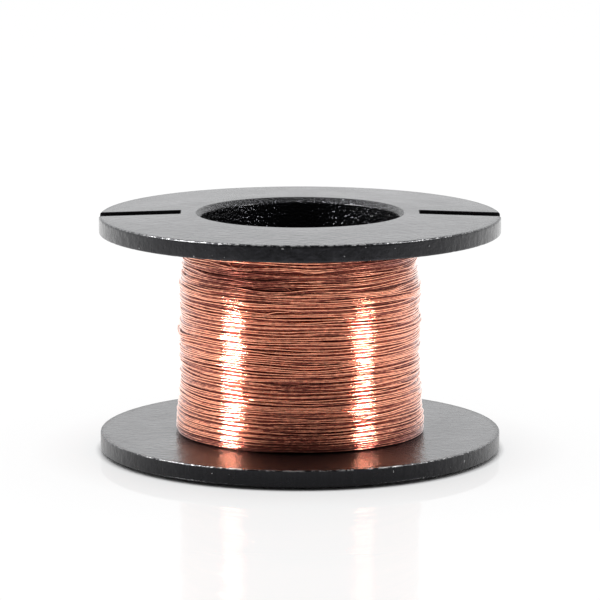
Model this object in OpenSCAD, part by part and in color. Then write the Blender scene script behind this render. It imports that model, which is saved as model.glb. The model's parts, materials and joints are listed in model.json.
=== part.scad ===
// Small wire spool: two dished flanges pressed on the ends of a tube, wound with fine enamelled copper wire.
// Millimetres, +Z up. The origin is on the spool's axis, at the face that the lower flange's hub rests on.

/* [Flanges] */
// Outer diameter of both flanges
flange_d = 34; // [30:0.5:44]
// Thickness of a flange at its rim
rim_t = 1.43; // [1.2:0.01:2.4]
// How far a flange's outer face rises from its rim to its hub
hub_rise = 0.22; // [0.05:0.01:0.6]
// Width of the flat ring round each mouth of the bore
hub_land = 1.3; // [0.6:0.1:3]
// Radius on the rim's outer edge
outer_edge_r = 0.2; // [0.05:0.05:0.5]
// Radius on the rim's inner edge, on the side of the wire
inner_edge_r = 0.12; // [0.04:0.02:0.4]

/* [Bore] */
// Diameter of the hole through the whole spool
bore_d = 16.8; // [12:0.1:20]
// Leg of the 45 degree chamfer at each mouth of the bore
mouth_chamfer = 0.45; // [0.1:0.05:0.7]

/* [Barrel] */
// Wall of the tube that carries the wire
barrel_wall = 1; // [0.7:0.05:1.8]
// Clear width between the flanges, which the winding fills
winding_w = 17.05; // [10:0.05:30]
// Depth of the seat in each flange that takes the barrel's end
seat_depth = 0.7; // [0.3:0.05:0.9]
// Radial clearance between the barrel's end and its seat
seat_clearance = 0.03; // [0.01:0.01:0.1]
// Chamfer on the barrel's ends, which leads them into their seats
lead_in = 0.2; // [0.05:0.05:0.5]

/* [Wire slits] */
// Width of the two slits in the upper flange, which hold the wire's ends
slit_w = 2.2; // [0.6:0.1:4]
// Distance from the barrel to the inner end of a slit
slit_standoff = 0.7; // [0.4:0.05:3]

/* [Winding] */
// Depth of wire on the barrel over the winding's even stretch
even_depth = 0.8; // [0.7:0.05:2]
// Depth of wire where it piles up against the lower flange
foot_depth = 1.14; // [0.8:0.02:2.4]
// Height over which that pile runs out
foot_h = 5; // [3:0.5:8]
// Depth of wire under the upper flange
top_depth = 0.55; // [0.5:0.05:1.5]
// Height of the thinner stretch under the upper flange
top_h = 2.5; // [1:0.25:3.5]
// Height over which the even stretch thins to the top one
thinning_h = 3; // [1:0.25:4]

/* [Outer layer] */
// Diameter of the drawn loop, which stands for a band of fine turns
loop_d = 0.25; // [0.15:0.01:0.25]
// Least distance from one loop's centre to the next
loop_pitch = 0.66; // [0.66:0.01:1.2]
// Radius of the bend where an end turns from the winding towards its flange
end_bend_r = 0.3; // [0.2:0.02:0.5]
// Clearance between the loops and the layers under them
lay_clearance = 0.02; // [0.01:0.01:0.1]

/* [Hidden] */
$fn = 96;

plastic = [0.09, 0.09, 0.095];
copper = [0.78, 0.42, 0.29];
cut_margin = 1;

// Flanges and bore, as radii and heights
flange_r = flange_d / 2;
bore_r = bore_d / 2;
mouth_r = bore_r + mouth_chamfer;
land_r = mouth_r + hub_land;
hub_t = rim_t + hub_rise;

// Barrel, and the seats that its ends stand in
barrel_r = bore_r + barrel_wall;
seat_r = barrel_r + seat_clearance;
web_t = hub_t - seat_depth;
barrel_h = winding_w + 2 * seat_depth;
total_h = winding_w + 2 * hub_t;
slit_end_r = barrel_r + slit_standoff;

// Steps of a rounded edge, a quarter of a circle
edge_steps = 4;

// Outer layer: one tube along a helix, whose ends turn to stand square on the flanges
rings_per_loop = 24;
loop_sides = 6;
bend_rings = 4;
profile_steps = 24;
helix_room = winding_w - 2 * (loop_d + end_bend_r);
loops = floor(helix_room / loop_pitch);

// Points of a quarter circle about (x, z), from angle a on by 90 degrees
function quarter(x, z, r, a) =
    [for (i = [0 : edge_steps]) [x + r * cos(a + 90 * i / edge_steps), z + r * sin(a + 90 * i / edge_steps)]];

// 0 below 0, 1 above 1, and a smooth rise between
function smooth(t) = let (u = min(max(t, 0), 1)) u * u * (3 - 2 * u);

// Outer radius of the winding at a height above the lower flange's inner face
function winding_r(h) =
    barrel_r + even_depth
    + (foot_depth - even_depth) * smooth(1 - h / foot_h)
    + (top_depth - even_depth) * smooth((h - (winding_w - top_h - thinning_h)) / thinning_h);

// Radius of the loops' centre line, and of the layers that their straight facets just clear
function loop_r(h) = winding_r(h) - loop_d / 2;
function core_r(h) = loop_r(h) * cos(180 / rings_per_loop) - loop_d / 2 - lay_clearance;

// A flange with its outer face down, the hub's flat ring at z = 0
module flange_disc() {
    rotate_extrude()
        polygon(concat(
            [[bore_r, mouth_chamfer], [mouth_r, 0], [land_r, 0]],
            quarter(flange_r - outer_edge_r, hub_rise + outer_edge_r, outer_edge_r, -90),
            quarter(flange_r - inner_edge_r, hub_t - inner_edge_r, inner_edge_r, 0),
            [[seat_r, hub_t], [seat_r, web_t], [bore_r, web_t]]
        ));
}

module lower_flange() {
    color(plastic)
        flange_disc();
}

// Two slits run from the rim to just outside the winding, cut right through
module upper_flange() {
    color(plastic)
        difference() {
            translate([0, 0, total_h])
                mirror([0, 0, 1])
                    flange_disc();
            for (side = [0, 180])
                rotate([0, 0, side])
                    translate([slit_end_r, -slit_w / 2, total_h - hub_t - cut_margin])
                        cube([flange_r - slit_end_r + cut_margin, slit_w, hub_t + 2 * cut_margin]);
        }
}

// A plain tube, chamfered outside at both ends, that stands on the floors of the two seats
module barrel() {
    color(plastic)
        translate([0, 0, web_t])
            rotate_extrude()
                polygon([
                    [bore_r, 0], [barrel_r - lead_in, 0], [barrel_r, lead_in],
                    [barrel_r, barrel_h - lead_in], [barrel_r - lead_in, barrel_h], [bore_r, barrel_h]
                ]);
}

// All layers but the outermost, as one sleeve on the barrel that follows the winding's swell
module wire_inner_layers() {
    color(copper)
        translate([0, 0, hub_t])
            rotate_extrude()
                polygon(concat(
                    [[barrel_r, 0]],
                    [for (i = [0 : profile_steps]) let (h = winding_w * i / profile_steps) [core_r(h), h]],
                    [[barrel_r, winding_w]]
                ));
}

// Each point of the loops' route is [angle, height, rise], where rise is the climb's angle from level, in degrees
helix_rise = atan(helix_room / loops / (2 * PI * loop_r(winding_w / 2)));
bend_turn = 90 - helix_rise;

// An end's straight stretch, then its bend, from the flange to the helix, with heights above the flange
end_route = concat(
    [[0, 0, 90]],
    [for (i = [0 : bend_rings])
        let (turned = bend_turn * i / bend_rings)
            [end_bend_r * (1 - cos(turned)), loop_d + end_bend_r * sin(turned), 90 - turned]]
);
end_advance = end_route[bend_rings + 1][0];
end_height = end_route[bend_rings + 1][1];

// The whole route: the lower end, the helix, and the same end turned over at the top
function degrees_along(length, h) = length / loop_r(h) * 180 / PI;
helix_start = degrees_along(end_advance, 0);
route_end = helix_start + loops * 360 + degrees_along(end_advance, winding_w);
helix_rings = loops * rings_per_loop;
helix_climb = winding_w - 2 * end_height;
route = concat(
    [for (p = end_route) [degrees_along(p[0], 0), p[1], p[2]]],
    [for (i = [1 : helix_rings - 1])
        [helix_start + i * 360 / rings_per_loop, end_height + helix_climb * i / helix_rings, helix_rise]],
    [for (i = [bend_rings + 1 : -1 : 0])
        let (p = end_route[i])
            [route_end - degrees_along(p[0], winding_w), winding_w - p[1], p[2]]]
);

function on_route(p) = [loop_r(p[1]) * cos(p[0]), loop_r(p[1]) * sin(p[0]), p[1]];

// A ring of the tube: points about the route, in the plane square to it
function ring(p) =
    let (
        centre = on_route(p),
        outward = [cos(p[0]), sin(p[0]), 0],
        across = [sin(p[0]) * sin(p[2]), -cos(p[0]) * sin(p[2]), cos(p[2])]
    )
    [for (k = [0 : loop_sides - 1])
        let (a = 360 * k / loop_sides)
            centre + loop_d / 2 * (outward * cos(a) + across * sin(a))];

// The least distance between rings half a loop or more apart, less the tube's diameter
centres = [for (p = route) on_route(p)];
function least_gap() =
    min([for (i = [0 : len(centres) - 1 - rings_per_loop / 2])
        min([for (j = [i + rings_per_loop / 2 : len(centres) - 1]) norm(centres[i] - centres[j])])]) - loop_d;

// One unbroken tube from the lower flange to the upper one
module wire_outer_layer() {
    last = len(route) - 1;
    points = [for (p = route) each ring(p)];
    sides = [for (i = [0 : last - 1], k = [0 : loop_sides - 1])
        let (
            a = i * loop_sides + k,
            b = i * loop_sides + (k + 1) % loop_sides,
            c = b + loop_sides,
            d = a + loop_sides
        )
        each [[a, b, c], [a, c, d]]];
    start_cap = [for (k = [1 : loop_sides - 2]) [0, k + 1, k]];
    end_cap = [for (k = [1 : loop_sides - 2]) [for (v = [0, k, k + 1]) last * loop_sides + v]];
    color(copper)
        translate([0, 0, hub_t])
            polyhedron(points, concat(sides, start_cap, end_cap));
}

echo(str("outer layer: ", loops, " loops, least gap to itself ", least_gap(), " mm"));

lower_flange();
barrel();
upper_flange();
wire_inner_layers();
wire_outer_layer();
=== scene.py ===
"""Dresses the wire spool: two moulded flanges, the tube between them and the wire wound on it, turn by turn.

Everything is in metres, +Z up, with the spool's axis on Z and the lower hub's face at z = 0.
"""

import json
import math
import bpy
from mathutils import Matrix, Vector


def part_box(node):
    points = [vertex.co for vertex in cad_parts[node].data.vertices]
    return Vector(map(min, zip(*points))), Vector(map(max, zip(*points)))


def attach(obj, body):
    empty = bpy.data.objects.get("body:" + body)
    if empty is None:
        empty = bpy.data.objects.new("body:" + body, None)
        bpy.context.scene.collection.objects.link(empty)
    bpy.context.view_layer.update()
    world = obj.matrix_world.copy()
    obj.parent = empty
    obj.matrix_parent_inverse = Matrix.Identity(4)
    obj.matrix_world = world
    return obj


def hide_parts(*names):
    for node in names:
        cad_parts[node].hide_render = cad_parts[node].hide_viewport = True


bl_info = {
    "name": "Wire Spool",
    "version": (1, 0, 0),
    "blender": (4, 5, 0),
    "location": "3D View > Sidebar > Wire Spool",
    "description": "Builds a small plastic spool wound with fine enamelled copper wire",
    "category": "Add Mesh",
}

import bpy
import numpy as np
from bpy.props import FloatProperty, FloatVectorProperty, IntProperty, PointerProperty

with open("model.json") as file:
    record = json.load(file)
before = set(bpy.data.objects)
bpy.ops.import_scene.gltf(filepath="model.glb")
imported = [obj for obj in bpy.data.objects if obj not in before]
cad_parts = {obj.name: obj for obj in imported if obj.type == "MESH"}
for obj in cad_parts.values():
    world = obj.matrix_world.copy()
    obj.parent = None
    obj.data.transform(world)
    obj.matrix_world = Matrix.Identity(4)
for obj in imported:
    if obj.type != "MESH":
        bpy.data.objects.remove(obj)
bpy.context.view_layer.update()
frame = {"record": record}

MM = 0.001
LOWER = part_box("lower_flange")
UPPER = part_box("upper_flange")
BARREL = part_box("barrel")
BORE_R = next(m for m in frame["record"]["mounts"] if m["name"] == "bore")["dims"]["r_mm"] * MM
FLANGE_R = LOWER[1].y
FLANGE_T = LOWER[1].z - LOWER[0].z
BARREL_R = BARREL[1].x
TOTAL_H = UPPER[1].z
WINDING_W = UPPER[0].z - LOWER[1].z

# Radial clearance between the tube's end and its seat
SEAT_CLEARANCE = 0.03 * MM

# Steps of a rounded edge
ARC_STEPS = 5

# Heights of the plastic's bumps: all over, all over and finer, down the rims, on the upward edges, and in the bore
SWELL, PEEL, STREAK, GRAIN, PEBBLE = 0.065 * MM, 0.02 * MM, 0.034 * MM, 0.04 * MM, 0.13 * MM

# Places where the turns are painted darker as shade, under the upper flange, beside the lower flange and in one
# patch between: degrees round from +X, millimetres above the lower flange, half the width in degrees, half the
# height in millimetres, and how much darker
SHADE_PATCHES = (
    (-117.0, 14.4, 40.0, 1.7, 1.3), (-91.0, 5.6, 22.0, 1.0, 0.8), (-91.0, 1.0, 24.0, 2.2, 0.7),
    (-36.0, 0.9, 34.0, 2.0, 0.6), (-42.0, 15.7, 45.0, 1.5, 1.2), (-72.0, 14.9, 16.0, 1.6, 0.5),
)

# Places where the last turns are always pushed apart: degrees round from +X, millimetres above the lower flange,
# by how many diameters, and half the width in degrees. Then the ranges of the same for the random ones.
EYE_PLACES = (
    (-118.0, 15.5, 2.0, 24.0), (-100.0, 15.1, 1.6, 20.0), (-110.0, 14.5, 2.0, 20.0), (-104.0, 13.7, 2.2, 22.0),
    (-97.0, 5.9, 1.6, 16.0),
)
EYE_RANGES = ((0.0, 360.0), (1.0, 16.0), (0.3, 0.9), (12.0, 36.0))


def length(name, default, description, low=0.0, high=0.1):
    """A property that holds a length in metres."""
    return FloatProperty(
        name=name, description=description, default=default, min=low, max=high, precision=6, unit="LENGTH"
    )


def colour(name, default, description):
    """A property that holds a linear colour."""
    return FloatVectorProperty(
        name=name, description=description, default=default, size=3, min=0.0, max=1.0, subtype="COLOR"
    )


def factor(name, default, description):
    """A property between 0 and 1."""
    return FloatProperty(name=name, description=description, default=default, min=0.0, max=1.0, subtype="FACTOR")


class SpoolFlangeSettings(bpy.types.PropertyGroup):
    """Sizes and finish of the moulded flanges and the tube between them."""

    hub_rise: length("Hub rise", 0.22 * MM, "How far the outer face rises from the rim to the hub")
    hub_land: length("Hub land", 1.3 * MM, "Width of the flat ring round the bore's mouth")
    mouth_chamfer: length("Mouth chamfer", 0.45 * MM, "Leg of the chamfer at the bore's mouth")
    outer_edge: length("Outer edge", 0.2 * MM, "Radius on the rim's outer edge")
    inner_edge: length("Inner edge", 0.12 * MM, "Radius on the rim's edge beside the wire")
    slit_width: length("Slit width", 2.2 * MM, "Width of the slits that hold the wire's ends")
    slit_end: length("Slit end", 10.1 * MM, "Distance from the axis to the inner end of a slit")
    slit_edge: length("Slit edge", 0.06 * MM, "Chamfer along the slits' edges")
    nicks: IntProperty(name="Nicks", description="Nicks along each edge of a rim", default=70, min=0, max=400)
    nick_depth: length("Nick depth", 0.022 * MM, "Depth of the deepest nick")
    columns: IntProperty(name="Columns", description="Steps round a flange", default=1280, min=96, max=2048)
    plastic: colour("Plastic", (0.0028, 0.0028, 0.0033), "Colour of the plastic")
    roughness: factor("Roughness", 0.24, "Roughness of the moulded faces")


class SpoolWireSettings(bpy.types.PropertyGroup):
    """Gauge, laying and finish of the wire."""

    gauge: length("Gauge", 0.118 * MM, "Diameter of the wire with its enamel")
    passes: IntProperty(name="Passes", description="Passes of wire laid turn by turn", default=4, min=1, max=8)
    rings: IntProperty(name="Rings", description="Rings of the tube in one turn", default=96, min=24, max=192)
    sides: IntProperty(name="Sides", description="Sides of the tube", default=7, min=5, max=12)
    even_depth: length("Even depth", 0.8 * MM, "Depth of wire over the winding's even stretch")
    foot_depth: length("Foot depth", 1.14 * MM, "Depth of wire piled against the lower flange")
    foot_height: length("Foot height", 5 * MM, "Height over which that pile runs out")
    top_depth: length("Top depth", 0.55 * MM, "Depth of wire under the upper flange")
    top_height: length("Top height", 2.5 * MM, "Height of the thinner stretch under the upper flange")
    thinning: length("Thinning", 3 * MM, "Height over which the even stretch thins to the top one")
    laid_depth: length("Laid depth", 0.40 * MM, "Depth that the laid passes build up")
    pitch: FloatProperty(name="Pitch", description="Distance between turns in a band, in diameters",
                         default=1.2, min=1.0, max=3.0)
    wander: factor("Wander", 0.32, "How far a turn wanders off its place, in diameters")
    sway: length("Sway", 0.06 * MM, "How far neighbouring turns sway together")
    band_least: length("Least band", 0.26 * MM, "Least distance between two valleys of the winding")
    band_most: length("Widest band", 0.75 * MM, "Greatest distance between two valleys of the winding")
    valley: FloatProperty(name="Valley", description="Widest valley between two bands, in diameters",
                          default=2.2, min=0.0, max=5.0)
    strays: IntProperty(name="Strays", description="Strands that stray across the last pass",
                        default=6, min=0, max=99)
    eyes: IntProperty(name="Eyes", description="Places where the last turns are pushed apart",
                      default=40, min=0, max=99)
    seed: IntProperty(name="Seed", description="Start of the random traverse", default=7, min=0, max=9999)
    copper: colour("Copper", (0.95, 0.405, 0.245), "Colour of the wire")
    # Painted shade: the dark colour painted on turns that lie under others, in place of their shade
    deep_in_shade: colour("Deep copper", (0.26, 0.045, 0.022), "Colour of the turns that lie deep")
    roughness: factor("Roughness", 0.125, "Roughness of the wire")


class SpoolStageSettings(bpy.types.PropertyGroup):
    """Camera, lamps and floor."""

    distance: length("Distance", 0.32718, "From the camera to the point that it looks at", 0.05, 5.0)
    aim_height: length("Aim height", 0.012785, "Height of the point that the camera looks at")
    elevation: FloatProperty(name="Elevation", description="Angle of the camera above the floor",
                             default=math.radians(9.754), subtype="ANGLE")
    lens: FloatProperty(name="Lens", description="Focal length in millimetres", default=231.32, min=10.0, max=500.0)
    lamp_power: FloatProperty(name="Lamp power", description="Power of each softbox in watts",
                              default=10.0, min=0.0, max=1000.0)
    front: factor("Front", 0.14, "Brightness of the floor in front of the spool, in reflections")
    sky: factor("Sky", 0.15, "Brightness of the studio in front of the spool, in reflections")


# Shapes

def smooth(t):
    """0 below 0, 1 above 1, and 3u^2 - 2u^3 between them."""
    u = np.clip(t, 0.0, 1.0)
    return u * u * (3.0 - 2.0 * u)


def bell(t):
    """(1 - t^2)^2 between -1 and 1, and 0 outside."""
    return np.maximum(1.0 - t * t, 0.0) ** 2


def wandering(rng, count, knots, spread, closed=False):
    """Random numbers of that spread, one every so many places, joined by smooth rises."""
    number = max(int(round(count / knots)), 1) if closed else int(count / knots) + 3
    values = rng.normal(0.0, spread, number)
    places = np.arange(count) * (number / count) if closed else np.arange(count) / knots
    first = places.astype(int) % number
    second = (first + 1) % number
    return values[first] + (values[second] - values[first]) * smooth(places - places.astype(int))


def put_mesh(name, points, faces):
    """A smooth-shaded object over the points; faces is a list of arrays of corners, one row to a face.

    The corners are turned round where the volume, a sixth of the sum of a . (b x c) over the triangles,
    comes out negative, so that faces point outwards.
    """
    points = points.reshape(-1, 3)
    fans = [f[:, [0, k, k + 1]] for f in faces for k in range(1, f.shape[1] - 1)]
    a, b, c = (points[np.concatenate(fans)[:, i]] for i in range(3))
    if np.einsum("ij,ij->i", a, np.cross(b, c)).sum() < 0:
        faces = [f[:, ::-1] for f in faces]
    sizes = np.concatenate([np.full(len(f), f.shape[1]) for f in faces])
    corners = np.concatenate([f.ravel() for f in faces])
    mesh = bpy.data.meshes.new(name)
    mesh.vertices.add(len(points))
    mesh.vertices.foreach_set("co", points.astype(np.float32).ravel())
    mesh.loops.add(len(corners))
    mesh.loops.foreach_set("vertex_index", corners.astype(np.int32))
    mesh.polygons.add(len(sizes))
    mesh.polygons.foreach_set("loop_start", (np.cumsum(sizes) - sizes).astype(np.int32))
    mesh.polygons.foreach_set("use_smooth", np.ones(len(sizes), bool))
    mesh.update(calc_edges=True)
    if mesh.validate():
        raise RuntimeError(f"{name} has faces that Blender can't keep")
    piece = bpy.data.objects.new(name, mesh)
    bpy.context.scene.collection.objects.link(piece)
    return piece


def grid_faces(rows, columns, close_rows, close_columns):
    """Corners of the four-sided faces between neighbours on a grid, joined end to end where it is closed."""
    r = np.arange(rows if close_rows else rows - 1)[:, None]
    c = np.arange(columns if close_columns else columns - 1)[None, :]
    r2, c2 = (r + 1) % rows, (c + 1) % columns
    corners = [r * columns + c, r * columns + c2, r2 * columns + c2, r2 * columns + c]
    return np.stack(np.broadcast_arrays(*corners), axis=-1).reshape(-1, 4)


def rounded(corners, steps):
    """A closed outline with an arc in each corner. A corner is (radius from Z, height, radius of the arc).

    An arc of radius R in a corner of inner angle g starts R / tan(g / 2) from the corner. Its points are
    the mix (1 - t)^2, 2t(1 - t), t^2 of its start, the corner and its end. Points near each arc's end, and
    near both ends of a long straight, keep the straights flat.
    """
    corners = np.array(corners, float)
    corners, radii = corners[:, :2], corners[:, 2]
    back, ahead = np.roll(corners, 1, axis=0) - corners, np.roll(corners, -1, axis=0) - corners
    far_back, far_ahead = np.linalg.norm(back, axis=1), np.linalg.norm(ahead, axis=1)
    back, ahead = back / far_back[:, None], ahead / far_ahead[:, None]
    inner = np.arccos(np.clip((back * ahead).sum(axis=1), -1.0, 1.0))
    reach = radii / np.tan(inner / 2.0)
    start, end = corners + back * reach[:, None], corners + ahead * reach[:, None]
    t = np.linspace(0.0, 1.0, steps + 1)[None, :, None]
    arc = (1 - t) ** 2 * start[:, None] + 2 * t * (1 - t) * corners[:, None] + t ** 2 * end[:, None]
    hold = (0.25 * radii + 0.01 * MM)[:, None]
    outline = np.concatenate([(start + back * hold)[:, None], arc, (end + ahead * hold)[:, None]], axis=1)
    outline = outline.reshape(-1, 2)
    closed = np.concatenate([outline, outline[:1]])
    step = np.linalg.norm(np.diff(closed, axis=0), axis=1)
    along = np.concatenate([[0.0], np.cumsum(step)])
    margin = 0.4 * MM
    long = step > 3.0 * margin
    places = np.sort(np.concatenate([along[:-1], along[:-1][long] + margin, along[1:][long] - margin]))
    return np.stack([np.interp(places, along, closed[:, k]) for k in (0, 1)], axis=1)


def revolve(outline, columns):
    """Points of an outline of (radius, height) carried once round Z, as a grid of outline by angle.

    The outline has a second axis, the angle, along which it is either one long or has its own shape each step.
    """
    angle = np.arange(columns) * 2.0 * np.pi / columns
    radius, height = outline[..., 0], outline[..., 1]
    return np.stack(np.broadcast_arrays(radius * np.cos(angle), radius * np.sin(angle), height), axis=-1)


def nick_depths(rng, columns, number, deepest):
    """Depth of the nicks at each step round a rim.

    Each nick is deepest * share * (1 - t^2)^2, where t runs from -1 to 1 over its width, 0.1 to 0.4 mm to
    either side, and most shares are small. The deepest wins where nicks meet. A ripple is added to all of
    them: the sizes of two random wanders, one over 4 and one over 11 steps, each with a spread of 0.06 of
    the deepest.
    """
    along = np.arange(columns) * 2.0 * np.pi * FLANGE_R / columns
    place = rng.uniform(0.0, 2.0 * np.pi * FLANGE_R, number)
    width = rng.uniform(0.1, 0.4, number) * MM
    share = rng.uniform(0.15, 1.0, number) ** 2
    gap = np.abs(along[:, None] - place)
    gap = np.minimum(gap, 2.0 * np.pi * FLANGE_R - gap)
    nicks = (share * bell(gap / width)).max(axis=1, initial=0.0)
    ripple = np.abs(wandering(rng, columns, 4, 0.06, True)) + np.abs(wandering(rng, columns, 11, 0.06, True))
    return deepest * np.minimum(nicks + ripple, 1.0)


def flange_points(s, seed):
    """A flange with its outer face down, as a grid of outline by angle.

    The outline is the moulding's section with rounded corners. Near each edge of the rim it is pushed
    inwards, along the edge's diagonal, by the nicks' depth times a smooth fall over a quarter millimetre.
    """
    seat_r = BARREL_R + SEAT_CLEARANCE
    web_t = BARREL[0].z
    mouth_r = BORE_R + s.mouth_chamfer
    outline = rounded([
        (BORE_R, s.mouth_chamfer, 0.16 * MM), (mouth_r, 0.0, 0.12 * MM), (mouth_r + s.hub_land, 0.0, 1.0 * MM),
        (FLANGE_R, s.hub_rise, s.outer_edge), (FLANGE_R, FLANGE_T, s.inner_edge), (seat_r, FLANGE_T, 0.05 * MM),
        (seat_r, web_t, 0.02 * MM), (BORE_R, web_t, 0.012 * MM),
    ], ARC_STEPS)
    rng = np.random.default_rng(seed)
    section = np.repeat(outline[:, None, :], s.columns, axis=1)
    for corner, inwards in (((FLANGE_R, s.hub_rise), (-1.0, 1.0)), ((FLANGE_R, FLANGE_T), (-1.0, -1.0))):
        near = smooth(1.0 - np.linalg.norm(outline - np.array(corner), axis=1) / (0.25 * MM))
        depth = nick_depths(rng, s.columns, s.nicks, s.nick_depth)
        section += (near[:, None] * depth)[..., None] * np.array(inwards) / math.sqrt(2.0)
    return revolve(section, s.columns)


def slit_cutters(s):
    """Two closed blocks the size of the slits, wider by the edge's chamfer where they leave the faces.

    A block is a rounded rectangle in plan, carried up through six levels. Each level is grown by its own
    flare, and the levels near the upper face follow that face's slope. The outermost levels stand past
    the faces. The other block is the first one turned half round Z.
    """
    half, reach, corner, past = s.slit_width / 2, FLANGE_R + 1.0 * MM, 0.12 * MM, 0.5 * MM
    turn = np.linspace(0.0, np.pi / 2, ARC_STEPS)
    flare = np.array([s.slit_edge + past, s.slit_edge, 0.0, 0.0, s.slit_edge, s.slit_edge + past])[:, None]
    near_x, near_y = s.slit_end + corner * (1 - np.cos(turn)), half - corner * (1 - np.sin(turn))
    x = np.concatenate([near_x, [reach, reach], near_x[::-1]])[None, :]
    y = np.concatenate([near_y, [half, -half], -near_y[::-1]])[None, :]
    x = x - flare * (x < reach)
    y = y + flare * np.sign(y)
    land = BORE_R + s.mouth_chamfer + s.hub_land
    upper = TOTAL_H - s.hub_rise * (x - land) / (FLANGE_R - land)
    lower = np.full_like(x, UPPER[0].z)
    face = np.concatenate([lower[:3], upper[3:]])
    z = face + np.array([-past, 0.0, s.slit_edge, -s.slit_edge, 0.0, past])[:, None]
    block = np.stack([x, y, z], axis=-1)
    levels, around = x.shape
    ring = np.arange(around)[None, :]
    faces = [grid_faces(levels, around, False, True), ring[:, ::-1], ring + (levels - 1) * around]
    points = np.stack([block, block * np.array([-1.0, -1.0, 1.0])])
    return put_mesh("slit_cutters", points, [f + k * levels * around for k in (0, 1) for f in faces])


def winding_radius(w, height):
    """Outer radius of the wire at a height above the lower flange.

    The even depth, plus a pile that falls off smoothly from the lower flange, less the thinning that
    comes in smoothly below the upper one.
    """
    depth = (
        w.even_depth
        + (w.foot_depth - w.even_depth) * smooth(1.0 - height / w.foot_height)
        + (w.top_depth - w.even_depth) * smooth((height - (WINDING_W - w.top_height - w.thinning)) / w.thinning)
    )
    return BARREL_R + depth


def valleys(w, rng):
    """Heights of the valleys between two bands of wire, at random distances."""
    count = int(WINDING_W / w.band_least) + 1
    heights = np.cumsum(w.band_least + (w.band_most - w.band_least) * rng.random(count) ** 1.6)
    return heights[heights < WINDING_W - w.band_least]


def traverse(w, rng, low_spots, depth, downwards):
    """Heights of the rings in one pass between the flanges, by turn.

    A turn climbs one pitch. At a valley it skips ahead, in a smooth rise over part of a turn, and the turns
    between two skips are as many as the band's width holds. Depth, from 0 to 1, says how wide the skips are.
    How far that falls short of an even climb from valley to valley, averaged over a turn to either side, is
    then added, so that each valley keeps its height. A random wander is added too, which fades out over the
    last two turns at either flange.
    """
    low, high, pitch = w.gauge / 2, WINDING_W - w.gauge / 2, w.pitch * w.gauge
    spots = low_spots + rng.normal(0.0, 0.12 * w.gauge, len(low_spots))
    skip = w.gauge * w.valley * depth * rng.uniform(0.3, 1.0, len(spots))
    width = rng.uniform(0.04, 0.3, len(spots))
    bands = np.diff(np.concatenate([[low], spots])) - (skip + np.concatenate([[0.0], skip[:-1]])) / 2
    place = np.cumsum(np.round(np.maximum(bands, 0.0) / pitch)) + rng.uniform(-0.35, 0.35, len(spots))
    turns = int(place[-1] + max(high - spots[-1] - skip[-1] / 2, 0.0) / pitch) + 1
    turn = np.arange(turns * w.rings + 1) / w.rings
    climb = turn * pitch + (skip * smooth((turn[:, None] - place) / width)).sum(axis=1)
    even = np.interp(turn, [0.0, *place, turns], [0.0, *(spots - low), high - low])
    span = 2 * w.rings + 1
    climb = climb + np.convolve(np.pad(even - climb, w.rings, "edge"), np.full(span, 1.0 / span), "valid")
    wander = wandering(rng, len(climb), w.rings * 0.08, w.wander * w.gauge)
    wander += wandering(rng, len(climb), w.rings * 0.05, 0.2 * w.wander * w.gauge)
    wander *= smooth(climb / (2 * w.gauge)) * smooth((high - low - climb) / (2 * w.gauge))
    height = low + np.clip(climb + wander, 0.0, high - low)
    return (height[::-1] if downwards else height)[:-1]


def spaced(w, height, downwards):
    """A pass in which each turn lies at least 0.93 diameters past the one before it."""
    least = 0.93 * w.gauge
    climb = WINDING_W - height if downwards else height.copy()
    for start in range(w.rings, len(climb), w.rings):
        here = climb[start : start + w.rings]
        np.maximum(here, climb[start - w.rings : start - w.rings + len(here)] + least, out=here)
    climb = np.minimum(climb, WINDING_W - w.gauge / 2)
    return WINDING_W - climb if downwards else climb


def swayed(w, rng, angle, height):
    """How far the turns sway together at an angle and height.

    Random numbers stand on a grid of thirteen places round by one every 0.8 mm of height, joined by smooth
    rises both ways; the sway fades out over the last millimetre at either flange.
    """
    round_count, tall = 13, 0.8 * MM
    values = rng.normal(0.0, w.sway, (int(WINDING_W / tall) + 3, round_count))
    u, v = angle / (2 * np.pi) % 1.0 * round_count, height / tall
    c, r = u.astype(int) % round_count, v.astype(int)
    p, q = smooth(u - u.astype(int)), smooth(v - r)
    near = values[r, c] * (1 - p) + values[r, (c + 1) % round_count] * p
    far = values[r + 1, c] * (1 - p) + values[r + 1, (c + 1) % round_count] * p
    return (near * (1 - q) + far * q) * smooth(height / MM) * smooth((WINDING_W - height) / MM)


def turned(angle, degrees):
    """How far round an angle lies from one in degrees, between minus and plus half a turn."""
    return (angle - math.radians(degrees) + np.pi) % (2 * np.pi) - np.pi


def disturbed(w, rng, angle, height):
    """The last pass with its strays and eyes.

    A stray adds reach * bell(t), with t from -1 to 1 over a stretch of a turn. An eye pushes the turns
    above it up and those below it down, by spread * bell(t) * exp(-distance / 0.35 mm).
    """
    turn = np.arange(len(height)) / w.rings
    middle = rng.uniform(2.0, turn[-1] - 2.0, w.strays)
    reach = rng.choice([-1.0, 1.0], w.strays) * rng.uniform(1.5, 4.0, w.strays) * w.gauge
    half = rng.uniform(0.05, 0.16, w.strays)
    moved = height + (reach * bell((turn[:, None] - middle) / half)).sum(axis=1)
    eyes = [np.concatenate([known, rng.uniform(*span, w.eyes)]) for known, span in zip(zip(*EYE_PLACES), EYE_RANGES)]
    for at, level, spread, wide in zip(*eyes):
        away = height - level * MM
        push = spread * w.gauge * bell(turned(angle, at) / math.radians(wide))
        moved += push * np.sign(away) * np.exp(-np.abs(away) / (0.35 * MM))
    return np.clip(moved, w.gauge / 2, WINDING_W - w.gauge / 2)


def painted_shade(angle, height):
    """How much painted shade darkens the turns at an angle and height: share * bell(angle / width) * bell(height /
    tall).

    The turns beside the lower flange are painted darker too, as shade, by a share of 0.95 that fades out over 1 mm.
    """
    shade_share = 0.95 * smooth(1.0 - height / MM)
    for at, level, wide, tall, share in SHADE_PATCHES:
        shade_share += share * bell(turned(angle, at) / math.radians(wide)) * bell((height - level * MM) / (tall * MM))
    return shade_share


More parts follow.
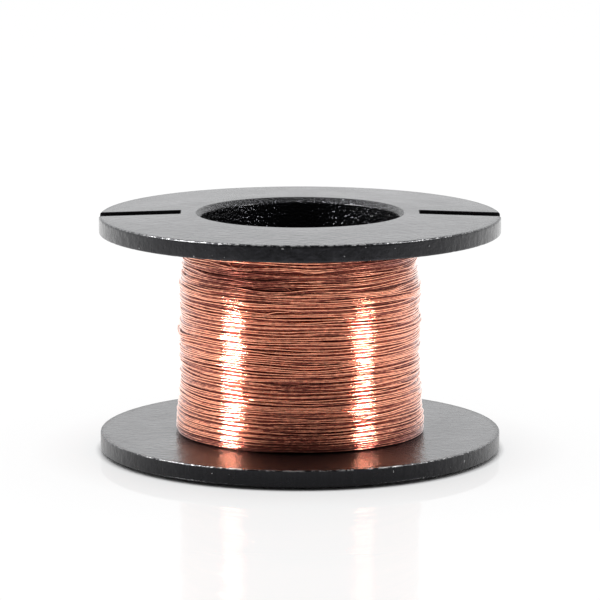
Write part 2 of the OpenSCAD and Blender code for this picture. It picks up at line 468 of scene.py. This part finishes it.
def lay_wire(w, wanted, base):
    """Height and radius of each ring of the wire, laid turn after turn on a pile.

    The pile is a table of radius by angle and height. A ring first slides up to 0.3 diameters to where it
    lies deepest. Its radius is the highest value of pile + sqrt(a^2 - dz^2) over its own width, with a the
    wire's radius. A taut wire runs straight between the points that carry it, so its radius is at least
    2 cos(g) / (1 / r1 + 1 / r2) for rings at an angle g to either side. Then the pile takes its shape.
    The last answer is how far the finished pile stands over each ring, two diameters to either side of it
    on average, in diameters. The wire is laid in stretches of three quarters of a turn, each with a look
    ahead of an eighth, so that no ring is laid before the turn under it.
    """
    a, cells = w.gauge / 2, 20
    step = w.gauge / cells
    levels = int(WINDING_W / step) + 2
    pile = np.repeat(base(np.arange(levels) * step)[None, :], w.rings, axis=0)
    window = np.arange(-cells // 2, cells // 2 + 1)
    rise = np.sqrt(np.maximum(a * a - (window * step) ** 2, 0.0))
    slides = np.linspace(-0.3, 0.3, 7) * w.gauge
    count, low, high = len(wanted), a, WINDING_W - a
    column = np.arange(count) % w.rings
    radius, slid = np.zeros(count), np.zeros(count)
    span, slide_cost = 8, 4.0 / MM
    soften = np.exp(-0.5 * (np.arange(-span, span + 1) / 3.0) ** 2)
    soften /= soften.sum()
    angle = 2.0 * np.pi / w.rings
    stretch, ahead, reach = w.rings * 3 // 4, w.rings // 8, 4
    for start in range(0, count, stretch):
        stop = min(start + stretch + ahead, count)
        here = np.arange(start, stop)
        tried = np.clip(wanted[here, None] + slides, low, high)
        cell = np.rint(tried / step).astype(int)[:, :, None] + window
        seat = (pile[column[here][:, None, None], np.clip(cell, 0, levels - 1)] + rise).max(axis=2)
        cost = seat + slide_cost * (tried - wanted[here, None]) ** 2
        best = np.take_along_axis(tried - wanted[here, None], cost.argmin(axis=1)[:, None], 1)[:, 0]
        before = slid[start - span : start] if start else np.full(span, best[0])
        eased = np.convolve(np.concatenate([before, best, np.full(span, best[-1])]), soften, "valid")
        height = np.clip(wanted[here] + eased, low, high)
        cell = np.clip(np.rint(height / step).astype(int)[:, None] + window, 0, levels - 1)
        seat = (pile[column[here][:, None], cell] + rise).max(axis=1)
        before = radius[start - reach : start] if start else np.full(reach, seat[0])
        taut = np.concatenate([before, seat])
        for k in (1, 2, 3, 1, 2, 3):
            chord = 2.0 * math.cos(k * angle) / (1.0 / taut[: -2 * k] + 1.0 / taut[2 * k :])
            taut[k:-k] = np.maximum(taut[k:-k], chord)
            taut[:reach] = before
        kept = min(stretch, count - start)
        radius[start : start + kept] = taut[reach : reach + kept]
        slid[start : start + kept] = (height - wanted[here])[:kept]
        spot = (column[here[:kept]][:, None], cell[:kept])
        pile[spot] = np.maximum(pile[spot], taut[reach : reach + kept, None] + rise)
    near = np.arange(-2 * cells, 2 * cells + 1, 4)
    cell = np.clip(np.rint((wanted + slid) / step).astype(int)[:, None] + near, 0, levels - 1)
    above = pile[column[:, None], cell].mean(axis=1) - radius
    return wanted + slid, radius, above / w.gauge


def tube(name, path, radius, sides):
    """A closed tube about a path: rings of points square to it, the first on the side away from Z.

    A ring's point at an angle t is centre + radius (cos t outward + sin t across), where outward is the
    direction from Z made square to the path, and across is the path's direction times outward.
    """
    along = np.gradient(path, axis=0)
    along /= np.linalg.norm(along, axis=1)[:, None]
    outward = path * np.array([1.0, 1.0, 0.0])
    outward -= along * (outward * along).sum(axis=1)[:, None]
    outward /= np.linalg.norm(outward, axis=1)[:, None]
    across = np.cross(along, outward)
    t = np.arange(sides) * 2.0 * np.pi / sides
    ring = outward[:, None] * np.cos(t)[:, None] + across[:, None] * np.sin(t)[:, None]
    points = path[:, None] + radius * ring
    end = np.arange(sides)[None, :]
    faces = [grid_faces(len(path), sides, False, True), end[:, ::-1], end + (len(path) - 1) * sides]
    return put_mesh(name, points, faces)


# Finishes

def node(tree, kind, settings=(), **inputs):
    """Adds a shader node. Settings are its own options; inputs are sockets by name, with _ for a space, or
    by number, as i0 and so on.
    """
    made = tree.nodes.new(kind)
    for key, value in dict(settings).items():
        setattr(made, key, value)
    for key, value in inputs.items():
        numbered = key[0] == "i" and key[1:].isdigit()
        socket = made.inputs[int(key[1:]) if numbered else key.replace("_", " ")]
        if isinstance(value, bpy.types.NodeSocket):
            tree.links.new(value, socket)
        else:
            socket.default_value = value
    return made


def finish(name):
    """A new material with an empty node tree and its output node."""
    material = bpy.data.materials.new(name)
    material.use_nodes = True
    tree = material.node_tree
    tree.nodes.clear()
    return material, tree, tree.nodes.new("ShaderNodeOutputMaterial")


def attribute(tree, name):
    """A mesh attribute's value."""
    return node(tree, "ShaderNodeAttribute", {"attribute_name": name}).outputs["Fac"]


def noise(tree, vector, scale, detail=2.0, roughness=0.5):
    """A noise texture's value. The scale is in waves to the metre."""
    made = node(tree, "ShaderNodeTexNoise", {"noise_dimensions": "3D"}, Vector=vector, Scale=scale, Detail=detail,
                Roughness=roughness)
    return made.outputs["Fac"]


def maths(tree, operation, *values):
    """A math node's value."""
    return node(tree, "ShaderNodeMath", {"operation": operation},
                **{f"i{i}": v for i, v in enumerate(values)}).outputs[0]


def between(tree, value, low, high, to_low, to_high):
    """A value spread from one range to another, and kept within it."""
    return node(tree, "ShaderNodeMapRange", Value=value, From_Min=low, From_Max=high, To_Min=to_low,
                To_Max=to_high).outputs[0]


def moulded_plastic(s):
    """Black moulded plastic, slightly uneven all over.

    The rims have streaks down them and a few specks of dust, the upward edges have broken pale metallic patches,
    part wear and part painted glints, and the bore and its mouth are pebbled. Its attributes are rim, edge, bore and
    mouth.
    """
    material, tree, out = finish("moulded_plastic")
    place = node(tree, "ShaderNodeTexCoord").outputs["Object"]
    rim, edge, bore, mouth = (attribute(tree, name) for name in ("rim", "edge", "bore", "mouth"))
    drawn = node(tree, "ShaderNodeMapping", Vector=place, Scale=(1.0, 1.0, 0.04)).outputs[0]
    peel = noise(tree, place, 5200.0, 2.0)
    swell = noise(tree, place, 1500.0, 3.0)
    cloud = noise(tree, place, 260.0, 3.0)
    streaks = noise(tree, drawn, 1700.0, 5.0, 0.8)
    grain = noise(tree, place, 6500.0, 3.0, 0.6)
    pebble = noise(tree, place, 4800.0, 1.0)
    height = maths(tree, "MULTIPLY_ADD", swell, SWELL, maths(tree, "MULTIPLY", peel, PEEL))
    height = maths(tree, "MULTIPLY_ADD", maths(tree, "MULTIPLY", streaks, rim), STREAK, height)
    height = maths(tree, "MULTIPLY_ADD", maths(tree, "MULTIPLY", grain, edge), GRAIN, height)
    pebbled = maths(tree, "MULTIPLY", pebble, maths(tree, "ADD", bore, mouth))
    height = maths(tree, "MULTIPLY_ADD", pebbled, PEBBLE, height)
    bump = node(tree, "ShaderNodeBump", Strength=1.0, Distance=1.0, Height=height).outputs[0]
    rough = between(tree, cloud, 0.3, 0.7, s.roughness - 0.03, s.roughness + 0.03)
    rough = maths(tree, "MULTIPLY_ADD", rim, 0.04, rough)
    rough = maths(tree, "MULTIPLY_ADD", bore, -0.11, rough)
    tone = between(tree, cloud, 0.3, 0.7, 0.9, 1.1)
    tone = maths(tree, "MULTIPLY_ADD", rim, between(tree, streaks, 0.35, 0.65, -0.8, 1.2), tone)
    plastic = node(tree, "ShaderNodeVectorMath", {"operation": "SCALE"}, i0=tuple(s.plastic), Scale=tone).outputs[0]
    # Part wear, part painted glints: pale metallic patches broken by noise, only on the edges that face up to the
    # lamps
    wear_and_painted_glints = maths(tree, "MULTIPLY", edge, between(tree, noise(tree, place, 2200.0, 4.0, 0.7), 0.48, 0.56, 0.0, 1.0))
    specks = maths(tree, "MULTIPLY", rim, between(tree, noise(tree, place, 3200.0, 0.0), 0.83, 0.86, 0.0, 1.0))
    rough = maths(tree, "MULTIPLY_ADD", wear_and_painted_glints, 0.04, rough)
    # Pale grey for the painted glint patches and for the dust specks
    pale = maths(tree, "MAXIMUM", wear_and_painted_glints, specks)
    sheen_and_dust_grey = (0.36, 0.36, 0.36, 1.0)
    mix = node(tree, "ShaderNodeMix", {"data_type": "RGBA"}, i0=pale, i6=plastic, i7=sheen_and_dust_grey)
    shader = node(tree, "ShaderNodeBsdfPrincipled", Base_Color=mix.outputs[2], Metallic=wear_and_painted_glints, Roughness=rough,
                  IOR=1.5, Normal=bump, Specular_Tint=(0.2, 0.2, 0.23, 1.0), Coat_Weight=0.2, Coat_Roughness=0.2,
                  Coat_IOR=1.5)
    tree.links.new(shader.outputs[0], out.inputs[0])
    return material


def enamelled_copper(w):
    """Bright copper under clear enamel, painted towards a dark shade colour the deeper a turn lies, with short
    darker and lighter dashes along the turns.

    Its attribute is lay, which carries that painted shade and a random tone. The dashes come from a noise that is
    four times finer up the spool than round it.
    """
    material, tree, out = finish("copper_turns")
    place = node(tree, "ShaderNodeTexCoord").outputs["Object"]
    # Painted shade: how far each turn's colour moves from bright copper to the shade colour, with a random tone
    painted_shade_and_tone = attribute(tree, "painted_shade_and_tone")
    flat = node(tree, "ShaderNodeMapping", Vector=place, Scale=(1.0, 1.0, 4.0)).outputs[0]
    dashes = between(tree, noise(tree, flat, 2000.0, 2.0), 0.35, 0.65, -0.35, 0.35)
    bright = maths(tree, "ADD", painted_shade_and_tone, dashes)
    # The painted shade colour where the share is 0, bright copper where it is 1
    mix = node(tree, "ShaderNodeMix", {"data_type": "RGBA"}, i0=bright, i6=(*w.deep_in_shade, 1.0), i7=(*w.copper, 1.0))
    haze = noise(tree, place, 900.0, 2.0)
    rough = between(tree, haze, 0.3, 0.7, w.roughness - 0.02, w.roughness + 0.03)
    shader = node(tree, "ShaderNodeBsdfPrincipled", Base_Color=mix.outputs[2], Metallic=1.0, Roughness=rough,
                  Coat_Weight=1.0, Coat_Roughness=0.15, Coat_IOR=1.5)
    tree.links.new(shader.outputs[0], out.inputs[0])
    return material


def fitted(piece, material, slot, *stands_for):
    """The piece takes the material, rides on the spool and stands for the CAD nodes named. The slot is not used."""
    piece.data.materials.clear()
    piece.data.materials.append(material)
    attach(piece, "root")
    if stands_for:
        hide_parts(*stands_for)


def mark(piece, name, values):
    """Puts one number for each point on the mesh, as an attribute."""
    attribute = piece.data.attributes.new(name, "FLOAT", "POINT")
    attribute.data.foreach_set("value", np.asarray(values, np.float32).ravel())


def ready(material_name, make, settings):
    """The material of that name, made the first time."""
    return bpy.data.materials.get(material_name) or make(settings)


# Operators

class SPOOL_OT_flanges(bpy.types.Operator):
    """Build the two flanges, with nicked rims, and cut the slits through the upper one"""

    bl_idname = "spool.flanges"
    bl_label = "Flanges"

    def execute(self, context):
        s = context.scene.spool_flange
        material = ready("moulded_plastic", moulded_plastic, s)
        for name, node_name, seed, upside in (
            ("lower_flange_body", "lower_flange", 11, False), ("upper_flange_body", "upper_flange", 12, True)
        ):
            points = flange_points(s, seed)
            if upside:
                points[..., 2] = TOTAL_H - points[..., 2]
            piece = put_mesh(name, points, [grid_faces(*points.shape[:2], True, True)])
            if upside:
                self.cut(context, piece, s)
            self.mark_wear_and_glints(piece, s, upside)
            piece.data.set_sharp_from_angle(angle=math.radians(32.0))
            fitted(piece, material, "black_plastic", node_name)
        return {"FINISHED"}

    def cut(self, context, piece, s):
        """Cuts both slits with one exact Boolean and applies it."""
        cutters = slit_cutters(s)
        modifier = piece.modifiers.new("slits", "BOOLEAN")
        modifier.operation, modifier.solver, modifier.object = "DIFFERENCE", "EXACT", cutters
        whole = len(piece.data.polygons)
        cut = bpy.data.meshes.new_from_object(piece.evaluated_get(context.evaluated_depsgraph_get()))
        piece.modifiers.clear()
        if len(cut.polygons) in (0, whole):
            raise RuntimeError("the slits weren't cut")
        piece.data = cut
        bpy.data.objects.remove(cutters)

    def mark_wear_and_glints(self, piece, s, upside):
        """Marks the rim, the bore with its mouth, the mouth's chamfer and the rim's upward edge, where the painted
        glints go.

        Each is a smooth rise or a bell of the distance from the axis, and the edge's a bell of the height too.
        The walls and chamfers of the slits, up to half a slit's width from the X axis, get none of them.
        """
        place = np.empty(3 * len(piece.data.vertices), np.float32)
        piece.data.vertices.foreach_get("co", place)
        x, y, z = place.reshape(-1, 3).astype(float).T
        radius = np.hypot(x, y)
        inside, outside = radius - BORE_R, radius - FLANGE_R
        crest, bend = (TOTAL_H - s.hub_rise, s.outer_edge) if upside else (FLANGE_T, s.inner_edge)
        reach = 0.5 * bend + 0.08 * MM
        half = s.slit_width / 2 + s.slit_edge + 0.01 * MM
        whole = (np.abs(y) > half) | (radius < s.slit_end - 0.3 * MM) | (not upside)
        mark(piece, "rim", whole * smooth((outside + 0.25 * MM) / (0.2 * MM)))
        mark(piece, "bore", whole * smooth(1.0 - (inside - 0.9 * s.mouth_chamfer) / (0.1 * MM)))
        mark(piece, "mouth", whole * bell((inside - 0.5 * s.mouth_chamfer) / (0.55 * s.mouth_chamfer)))
        # Only the edge that faces up is marked, since the painted glints stand in for light from above
        mark(piece, "edge", whole * bell((outside + 0.6 * bend) / reach) * bell((z - crest) / reach))


class SPOOL_OT_barrel(bpy.types.Operator):
    """Build the tube that joins the flanges and carries the wire"""

    bl_idname = "spool.barrel"
    bl_label = "Barrel"

    def execute(self, context):
        s = context.scene.spool_flange
        low, high = BARREL[0].z, BARREL[1].z
        inner, outer = 0.012 * MM, 0.2 * MM
        outline = rounded([
            (BORE_R, low, inner), (BARREL_R, low, outer), (BARREL_R, high, outer), (BORE_R, high, inner),
        ], ARC_STEPS)
        points = revolve(outline[:, None], 384)
        piece = put_mesh("barrel_tube", points, [grid_faces(*points.shape[:2], True, True)])
        for name in ("rim", "edge", "mouth"):
            mark(piece, name, np.zeros(points.shape[:2]))
        mark(piece, "bore", smooth((BORE_R + 0.1 * MM - np.hypot(points[..., 0], points[..., 1])) / (0.1 * MM)))
        fitted(piece, ready("moulded_plastic", moulded_plastic, s), "black_plastic", "barrel")
        return {"FINISHED"}


class SPOOL_OT_inner_wire(bpy.types.Operator):
    """Build the wound wire that lies under the passes laid turn by turn"""

    bl_idname = "spool.inner_wire"
    bl_label = "Inner wire"

    def execute(self, context):
        """The outline's radius falls by (1 - |sin(pi t)|) wire radii between turns, t being the turn."""
        w = context.scene.spool_wire
        turns, steps = int(WINDING_W / w.gauge), 4
        t = np.arange(turns * steps + 1) / steps
        height = t * WINDING_W / turns
        radius = winding_radius(w, height) - w.laid_depth - w.gauge / 2 * (1.0 - np.abs(np.sin(np.pi * t)))
        outside = np.stack([radius, LOWER[1].z + height], axis=-1)
        inside = np.array([[BARREL_R, UPPER[0].z], [BARREL_R, LOWER[1].z]])
        points = revolve(np.concatenate([outside, inside])[:, None], 128)
        piece = put_mesh("wire_core", points, [grid_faces(*points.shape[:2], True, True)])
        piece.data.set_sharp_from_angle(angle=math.radians(60.0))
        # Painted shade: the core lies under the laid passes, so it takes the dark shade colour all over
        mark(piece, "painted_shade_and_tone", np.zeros(points.shape[:2]))
        material = ready("copper_turns", enamelled_copper, w)
        fitted(piece, material, "enamelled_copper", "wire_inner_layers")
        return {"FINISHED"}


class SPOOL_OT_outer_wire(bpy.types.Operator):
    """Lay the outer passes of wire, one unbroken length wound turn by turn"""

    bl_idname = "spool.outer_wire"
    bl_label = "Outer wire"

    def execute(self, context):
        w = context.scene.spool_wire
        rng = np.random.default_rng(w.seed)
        low_spots = valleys(w, rng)
        depths = np.linspace(0.15, 1.0, w.passes) ** 1.5
        passes = [traverse(w, rng, low_spots, depth, k % 2 == 1) for k, depth in enumerate(depths)]
        ends = np.cumsum([len(p) for p in passes])
        angle = np.pi / 2 + np.arange(ends[-1]) * 2.0 * np.pi / w.rings
        wanted = np.concatenate(passes)
        wanted = wanted + swayed(w, rng, angle, wanted)
        starts = np.concatenate([[0], ends[:-1]])
        for k, (start, end) in enumerate(zip(starts, ends)):
            wanted[start:end] = spaced(w, wanted[start:end], k % 2 == 1)
        wanted[ends[-3]:] = disturbed(w, rng, angle[ends[-3]:], wanted[ends[-3]:])
        height, radius, above = lay_wire(w, wanted, lambda h: winding_radius(w, h) - w.laid_depth)
        # The wire's end is tucked beside its flange, under the turns
        tail = 14
        radius[-tail:] -= 1.5 * w.gauge * smooth(np.arange(tail) / (tail - 1.0))
        path = np.stack([radius * np.cos(angle), radius * np.sin(angle), LOWER[1].z + height], axis=-1)
        # Painted shade: a turn is painted darker the more of the pile stands over it, and darker still in the
        # painted shade patches; a random tone along the wire is added too
        painted_shade_and_tone = 1.0 - smooth((above - 0.02) / 0.75) + wandering(rng, len(path), w.rings * 0.6, 0.08)
        painted_shade_and_tone -= painted_shade(angle, height)
        material = ready("copper_turns", enamelled_copper, w)
        for k, (start, end) in enumerate(zip(starts, ends)):
            stretch = slice(start, min(end + 1, len(path)))
            piece = tube(f"wire_pass_{k + 1}", path[stretch], w.gauge / 2 * 1.05, w.sides)
            mark(piece, "painted_shade_and_tone", np.repeat(np.clip(painted_shade_and_tone[stretch], 0.0, 1.0), w.sides))
            fitted(piece, material, "enamelled_copper", *(["wire_outer_layer"] if k == 0 else []))
        return {"FINISHED"}


class SPOOL_OT_stage(bpy.types.Operator):
    """Set the camera, the pale floor, the two softboxes and the studio round the spool"""

    bl_idname = "spool.stage"
    bl_label = "Stage"

    def execute(self, context):
        g = context.scene.spool_stage
        self.camera(context, g)
        self.floor(g)
        self.world(context, g)
        for side in (-1.0, 1.0):
            self.softbox(context, g, side)
        context.scene.view_settings.view_transform = "Standard"
        return {"FINISHED"}

    def camera(self, context, g):
        """A long lens aimed at the spool from the front, a little from above."""
        data = bpy.data.cameras.new("camera")
        data.lens, data.sensor_width = g.lens, 36.0
        data.clip_start, data.clip_end = 0.01, 20.0
        camera = bpy.data.objects.new("camera", data)
        back = g.distance * math.cos(g.elevation)
        camera.location = (0.0, -back, g.aim_height + g.distance * math.sin(g.elevation))
        camera.rotation_euler = (math.pi / 2 - g.elevation, 0.0, 0.0)
        context.scene.collection.objects.link(camera)
        context.scene.camera = camera

    def softbox(self, context, g, side):
        """A rectangular lamp beside the spool, above the flanges' height, that faces the spool.

        The one on the left is the stronger.
        """
        azimuth, elevation, away = math.radians(72.6 * side - 1.8), math.radians(34.0), 0.6
        data = bpy.data.lights.new("softbox", "AREA")
        data.shape, data.size, data.size_y = "RECTANGLE", 0.18, 0.12
        data.energy = g.lamp_power * (1.25 if side < 0 else 0.55)
        lamp = bpy.data.objects.new("softbox", data)
        lamp.location = (
            away * math.sin(azimuth) * math.cos(elevation),
            -away * math.cos(azimuth) * math.cos(elevation),
            g.aim_height + away * math.sin(elevation),
        )
        lamp.rotation_euler = (math.pi / 2 - elevation, 0.0, azimuth)
        lamp.visible_diffuse, lamp.visible_camera = False, False
        context.scene.collection.objects.link(lamp)

    def by_ray(self, tree, path, other):
        """1 to the camera and the other value to every other ray."""
        return node(tree, "ShaderNodeMix", {"data_type": "FLOAT"}, i0=path["Is Camera Ray"], i2=other,
                    i3=1.0).outputs[0]

    def floor(self, g):
        """A pale floor that keeps the spool's shadow and turns into the white of the studio further out.

        In reflections it is bright in a ring round the spool, more so at its sides, and dark far in front.
        """
        x = np.array([-2.0, 2.0])
        points = np.stack([*np.meshgrid(x, x), np.zeros((2, 2))], axis=-1)
        floor = put_mesh("floor", points, [grid_faces(2, 2, False, False)])
        material, tree, out = finish("floor")
        place = node(tree, "ShaderNodeTexCoord").outputs["Object"]
        path = node(tree, "ShaderNodeLightPath").outputs
        seen = maths(tree, "MAXIMUM", path["Is Camera Ray"],
                     maths(tree, "MAXIMUM", path["Is Glossy Ray"], path["Is Transmission Ray"]))
        far = node(tree, "ShaderNodeVectorMath", {"operation": "LENGTH"}, i0=place).outputs["Value"]
        close = FLANGE_R + 0.5 * MM
        white_share = between(tree, far, FLANGE_R - 0.1 * MM, close, 0.0, 0.74)
        white_share = maths(tree, "ADD", white_share, between(tree, far, close, FLANGE_R + 6.0 * MM, 0.0, 0.15))
        white_share = maths(tree, "ADD", white_share, between(tree, far, 0.020, 0.045, 0.0, 0.11))
        parts = node(tree, "ShaderNodeSeparateXYZ", i0=place).outputs
        ahead = maths(tree, "DIVIDE", parts["Y"], far)
        ring = (0.024, 0.038)
        in_front, elsewhere = between(tree, far, *ring, 0.85, 3.3), between(tree, far, *ring, 1.15, 1.6)
        mirrored = between(tree, ahead, -0.98, -0.2, in_front, elsewhere)
        mirrored = maths(tree, "MULTIPLY", mirrored, between(tree, parts["Y"], -0.115, -0.065, g.front, 1.0))
        bright = self.by_ray(tree, path, mirrored)
        matt = node(tree, "ShaderNodeBsdfDiffuse", Color=(0.85, 0.85, 0.85, 1.0)).outputs[0]
        white = node(tree, "ShaderNodeEmission", Strength=bright).outputs[0]
        gloss = node(tree, "ShaderNodeBsdfGlossy", Color=(1.0, 1.0, 1.0, 1.0), Roughness=0.03).outputs[0]
        white_share = maths(tree, "MULTIPLY", seen, white_share)
        lit = node(tree, "ShaderNodeMixShader", i0=white_share, i1=matt, i2=white).outputs[0]
        mixed = node(tree, "ShaderNodeMixShader", i0=0.06, i1=lit, i2=gloss)
        tree.links.new(mixed.outputs[0], out.inputs[0])
        material.cycles.emission_sampling = "NONE"
        floor.data.materials.append(material)

    def world(self, context, g):
        """White to the camera; in reflections white behind and beside the spool and dark in front of it.

        In reflections it also dims towards the horizon, to 0.68 of that.
        """
        world = bpy.data.worlds.new("studio")
        world.use_nodes = True
        tree = world.node_tree
        tree.nodes.clear()
        out = tree.nodes.new("ShaderNodeOutputWorld")
        direction = node(tree, "ShaderNodeTexCoord").outputs["Generated"]
        path = node(tree, "ShaderNodeLightPath").outputs
        front_and_up = (0.0, -0.94, 0.34)
        ahead = node(tree, "ShaderNodeVectorMath", {"operation": "DOT_PRODUCT"}, i0=direction,
                     i1=front_and_up).outputs["Value"]
        dark = node(tree, "ShaderNodeMapRange", {"interpolation_type": "SMOOTHSTEP"}, Value=ahead, From_Min=-0.1,
                    From_Max=0.9, To_Min=1.32, To_Max=g.sky).outputs[0]
        height = node(tree, "ShaderNodeSeparateXYZ", i0=direction).outputs["Z"]
        dark = maths(tree, "MULTIPLY", dark, between(tree, height, 0.07, 0.17, 0.68, 1.05))
        sky = node(tree, "ShaderNodeBackground", Color=(0.985, 0.99, 1.0, 1.0),
                   Strength=self.by_ray(tree, path, dark))
        tree.links.new(sky.outputs[0], out.inputs[0])
        context.scene.world = world


class VIEW3D_PT_wire_spool(bpy.types.Panel):
    """Lists the spool's settings and the operators that build it"""

    bl_label = "Wire Spool"
    bl_space_type = "VIEW_3D"
    bl_region_type = "UI"
    bl_category = "Wire Spool"

    def draw(self, context):
        for title, group, operators in (
            ("Flanges and barrel", context.scene.spool_flange, (SPOOL_OT_flanges, SPOOL_OT_barrel)),
            ("Wire", context.scene.spool_wire, (SPOOL_OT_inner_wire, SPOOL_OT_outer_wire)),
            ("Stage", context.scene.spool_stage, (SPOOL_OT_stage,)),
        ):
            box = self.layout.box()
            box.label(text=title)
            for key in group.__annotations__:
                box.prop(group, key)
            for operator in operators:
                box.operator(operator.bl_idname)


CLASSES = (
    SpoolFlangeSettings, SpoolWireSettings, SpoolStageSettings, SPOOL_OT_flanges, SPOOL_OT_barrel,
    SPOOL_OT_inner_wire, SPOOL_OT_outer_wire, SPOOL_OT_stage, VIEW3D_PT_wire_spool,
)


def register():
    for cls in CLASSES:
        bpy.utils.register_class(cls)
    bpy.types.Scene.spool_flange = PointerProperty(type=SpoolFlangeSettings)
    bpy.types.Scene.spool_wire = PointerProperty(type=SpoolWireSettings)
    bpy.types.Scene.spool_stage = PointerProperty(type=SpoolStageSettings)


def unregister():
    for name in ("spool_flange", "spool_wire", "spool_stage"):
        delattr(bpy.types.Scene, name)
    for cls in reversed(CLASSES):
        bpy.utils.unregister_class(cls)


def main():
    """Builds the spool and its stage."""
    register()
    bpy.ops.spool.flanges()
    bpy.ops.spool.barrel()
    bpy.ops.spool.inner_wire()
    bpy.ops.spool.outer_wire()
    bpy.ops.spool.stage()


if __name__ == "__main__":
    main()
